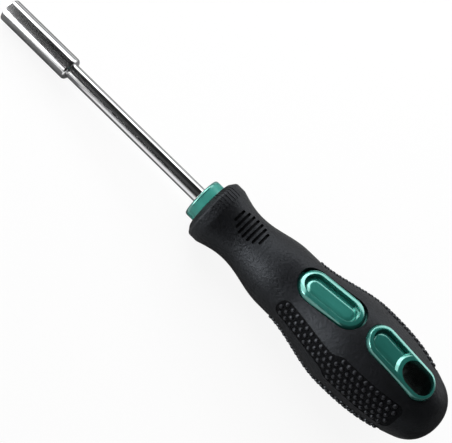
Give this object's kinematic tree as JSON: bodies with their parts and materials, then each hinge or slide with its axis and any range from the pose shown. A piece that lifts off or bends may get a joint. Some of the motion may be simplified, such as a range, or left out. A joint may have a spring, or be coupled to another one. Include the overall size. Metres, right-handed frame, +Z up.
{
  "type": "bit holder",
  "caption": "Magnetic bit holder with its own handle: hexagon socket on a round shaft, hard plastic core with oval plates and a hang hole, and a soft dotted grip.",
  "frame": {"origin": "bit seat: the centre of the magnet's front face, on the tool's axis", "axes": "+X along the tool's axis, out of the socket's mouth; +Z up, out of the upper oval plates, square to the hang hole"},
  "size_m": [0.218, 0.0366, 0.0392],
  "materials": {
    "plated_steel": "polished chrome plating",
    "magnet": "nickel plating",
    "spring_steel": "bright spring wire",
    "core_plastic": "smooth moulded green plastic",
    "grip_rubber": "matt black soft plastic"
  },
  "bodies": {
    "holder": {"bit_socket": "plated_steel", "shaft": "plated_steel", "bit_magnet": "magnet", "handle_core": "core_plastic", "soft_grip": "grip_rubber"},
    "ring": {"retaining_ring": "spring_steel"}
  },
  "joints": [
    {"name": "ring_turn", "type": "hinge", "parent": "holder", "child": "ring", "pos_m": [0.0104, 0, 0], "axis": [1, 0, 0], "continuous": true}
  ]
}
